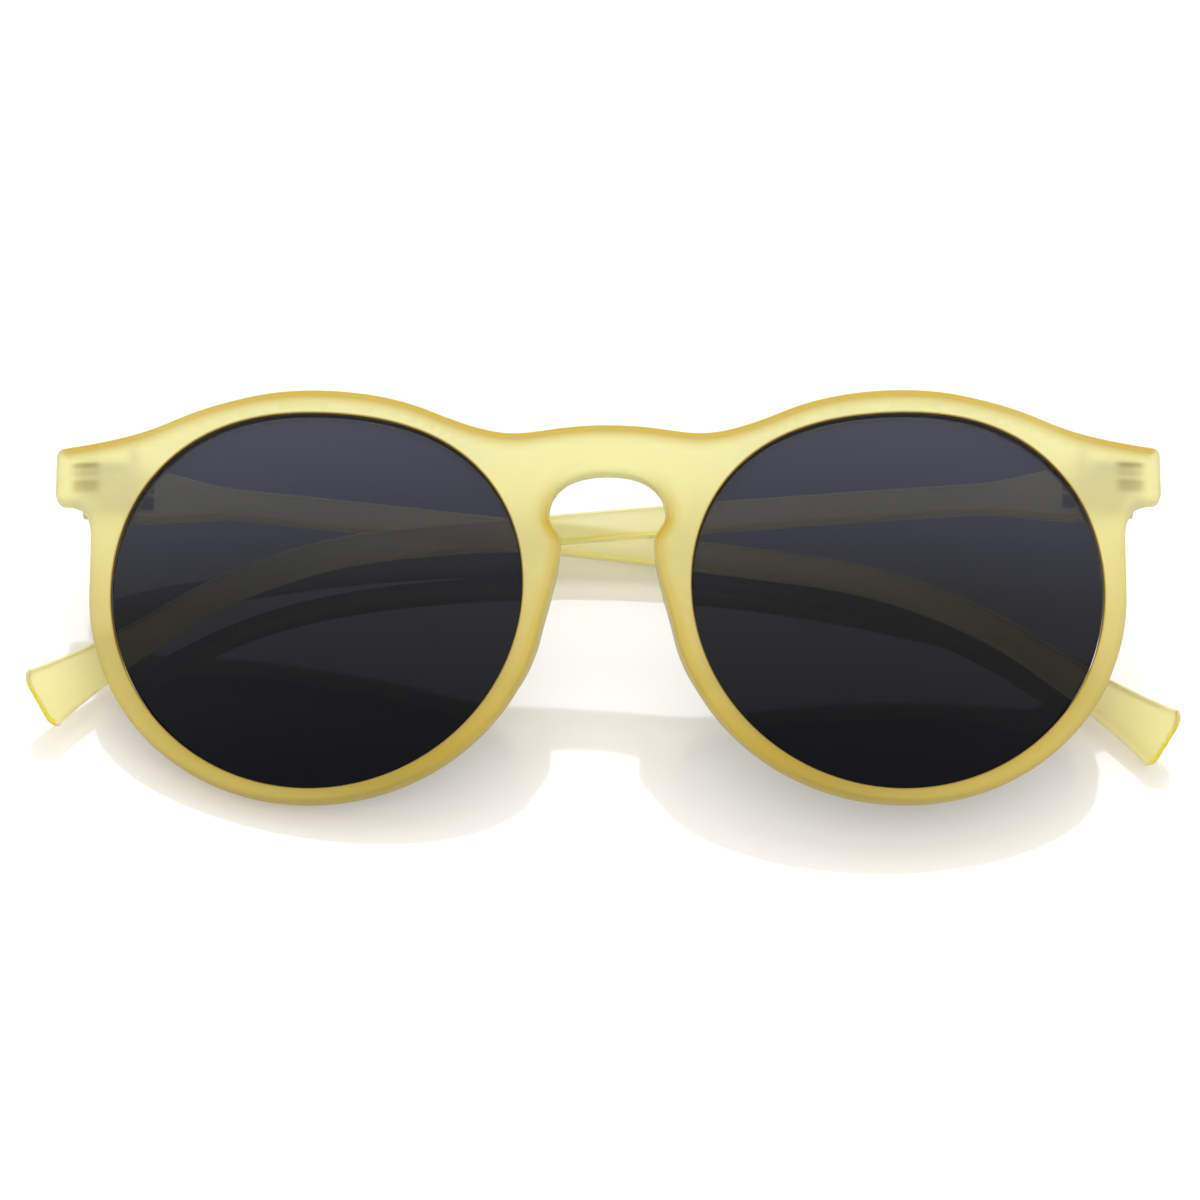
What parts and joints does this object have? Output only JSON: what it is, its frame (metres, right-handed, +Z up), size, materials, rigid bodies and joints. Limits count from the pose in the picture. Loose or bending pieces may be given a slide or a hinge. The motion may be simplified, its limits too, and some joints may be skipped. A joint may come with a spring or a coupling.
{
  "type": "round sunglasses",
  "caption": "Round keyhole sunglasses with a frosted yellow plastic frame, moulded nose pads, dark lenses and temples that fold flat behind the front.",
  "frame": {"origin": "on the surface that the folded sunglasses lie on, under the middle of their outline seen from above", "axes": "+Z up from that surface, +X towards the wearer's left end piece, +Y from the bottom of the rims towards the brow; the front leans up by 28 degrees from its rims to its brow"},
  "size_m": [0.1454, 0.05, 0.0326],
  "materials": {
    "frame_plastic": "frosted translucent pale yellow",
    "lens_plastic": "polished smoke grey, a little see-through",
    "hinge_metal": "plain nickel silver",
    "screw_metal": "bright"
  },
  "bodies": {
    "front": {"front_frame": "frame_plastic", "lens_left": "lens_plastic", "lens_right": "lens_plastic", "front_hinge_leaf_left": "hinge_metal", "front_hinge_leaf_right": "hinge_metal"},
    "left_temple": {"temple_left": "frame_plastic", "temple_hinge_leaf_left": "hinge_metal", "hinge_screw_left": "screw_metal"},
    "right_temple": {"temple_right": "frame_plastic", "temple_hinge_leaf_right": "hinge_metal", "hinge_screw_right": "screw_metal"}
  },
  "joints": [
    {"name": "left_temple_hinge", "type": "hinge", "parent": "front", "child": "left_temple", "pos_m": [0.0657, 0.01762, 0.02073], "axis": [0.0088, -0.8809, -0.4732], "range_deg": [0, 91.2]},
    {"name": "right_temple_hinge", "type": "hinge", "parent": "front", "child": "right_temple", "pos_m": [-0.06616, 0.01762, 0.01462], "axis": [-0.0088, 0.8809, 0.4732], "range_deg": [0, 88.3]}
  ]
}
